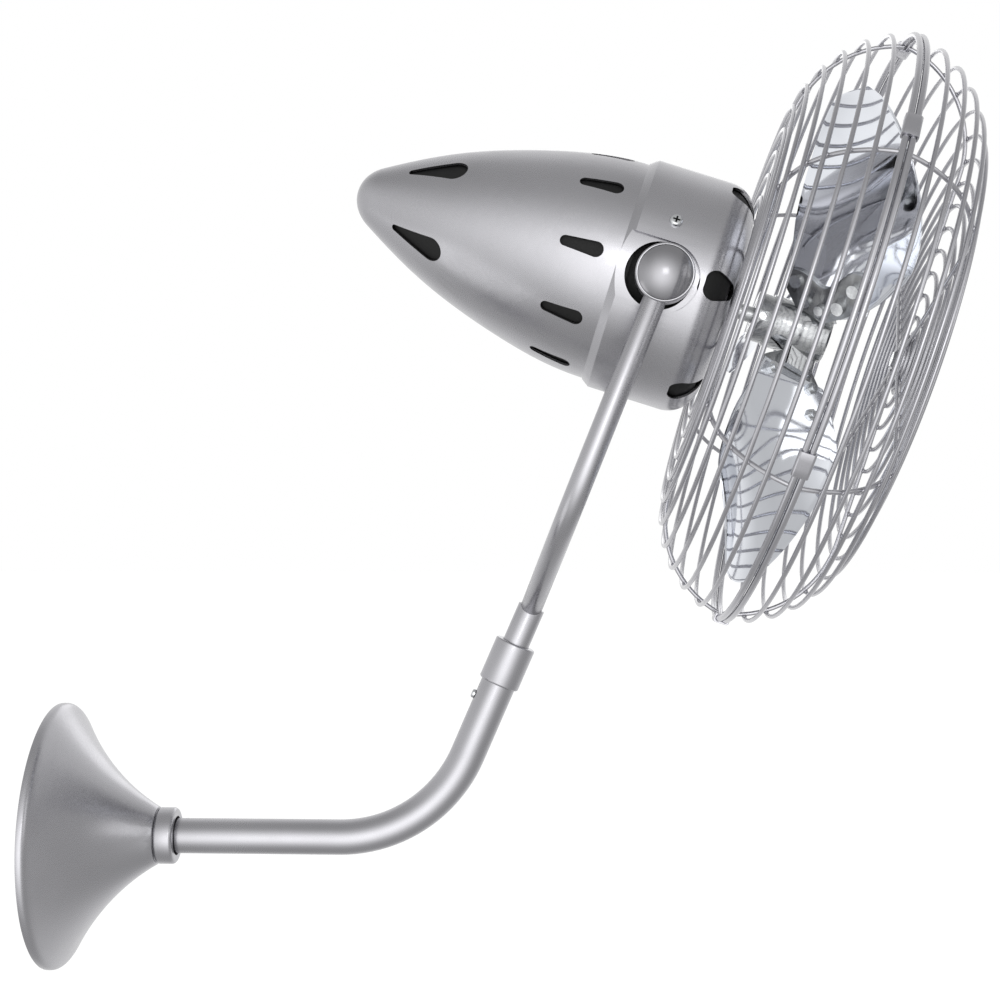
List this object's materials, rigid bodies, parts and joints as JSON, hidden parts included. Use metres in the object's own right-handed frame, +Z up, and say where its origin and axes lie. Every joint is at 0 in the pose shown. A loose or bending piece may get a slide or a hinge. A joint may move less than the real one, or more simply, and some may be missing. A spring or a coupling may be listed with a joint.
{
  "type": "wall mounted fan",
  "caption": "Wall fan with a trumpet canopy, bent arm, wishbone yoke, bullet shaped motor head and a round wire cage about polished blades.",
  "frame": {"origin": "middle of the canopy and mounting plate on the wall face", "axes": "+X out of the wall, +Z up, +Y to the left of someone facing the wall"},
  "size_m": [0.578, 0.3801, 0.5864],
  "materials": {
    "satin_nickel": "satin",
    "polished_chrome": "polished",
    "zinc_steel": "zinc plated",
    "bright_screw": "bright",
    "ground_steel": "ground",
    "cast_housing": "black, matt",
    "core_plates": "dark varnish",
    "coil_copper": "enamelled",
    "black_plastic": "matt"
  },
  "bodies": {
    "wall_arm": {"mounting_plate": "zinc_steel", "arm_flange": "zinc_steel", "flange_screws": "bright_screw", "canopy": "satin_nickel", "canopy_collar": "satin_nickel", "collar_screw": "bright_screw", "wire_bushing": "black_plastic", "arm_tube": "satin_nickel", "arm_sleeve": "satin_nickel", "arm_screw": "bright_screw"},
    "yoke": {"yoke_spigot": "satin_nickel", "yoke_arm_near": "satin_nickel", "yoke_arm_far": "satin_nickel", "pivot_cup_near": "satin_nickel", "pivot_cup_far": "satin_nickel", "pivot_caps": "satin_nickel", "pivot_bolts": "bright_screw", "friction_washers": "zinc_steel"},
    "head": {"tail_shell": "satin_nickel", "front_shell": "satin_nickel", "shell_screws": "bright_screw", "motor_frame": "cast_housing", "motor_cover": "cast_housing", "cover_screws": "bright_screw", "stator": "core_plates", "windings": "coil_copper", "motor_bearings": "ground_steel", "guard_rear": "satin_nickel", "guard_front": "satin_nickel", "guard_screws": "bright_screw", "rim_clips": "satin_nickel", "guard_cap": "satin_nickel", "guard_cap_bolt": "bright_screw"},
    "rotor": {"motor_shaft": "ground_steel", "rotor_core": "core_plates", "hub": "polished_chrome", "hub_screw": "bright_screw", "blade_upper": "polished_chrome", "blade_far": "polished_chrome", "blade_lower": "polished_chrome", "blade_irons": "polished_chrome", "blade_screws": "bright_screw", "blade_nuts": "bright_screw", "iron_screws": "bright_screw"}
  },
  "joints": [
    {"name": "yoke_swivel", "type": "hinge", "parent": "wall_arm", "child": "yoke", "pos_m": [0.30346, 0, 0.14526], "axis": [0.3987, 0, 0.9171], "range_deg": [-75, 75]},
    {"name": "head_tilt", "type": "hinge", "parent": "yoke", "child": "head", "pos_m": [0.38386, 0, 0.34628], "axis": [0, 1, 0], "range_deg": [-45, 15]},
    {"name": "rotor_spin", "type": "hinge", "parent": "head", "child": "rotor", "pos_m": [0.35947, 0, 0.35831], "axis": [0.9521, 0, -0.3057], "continuous": true}
  ]
}
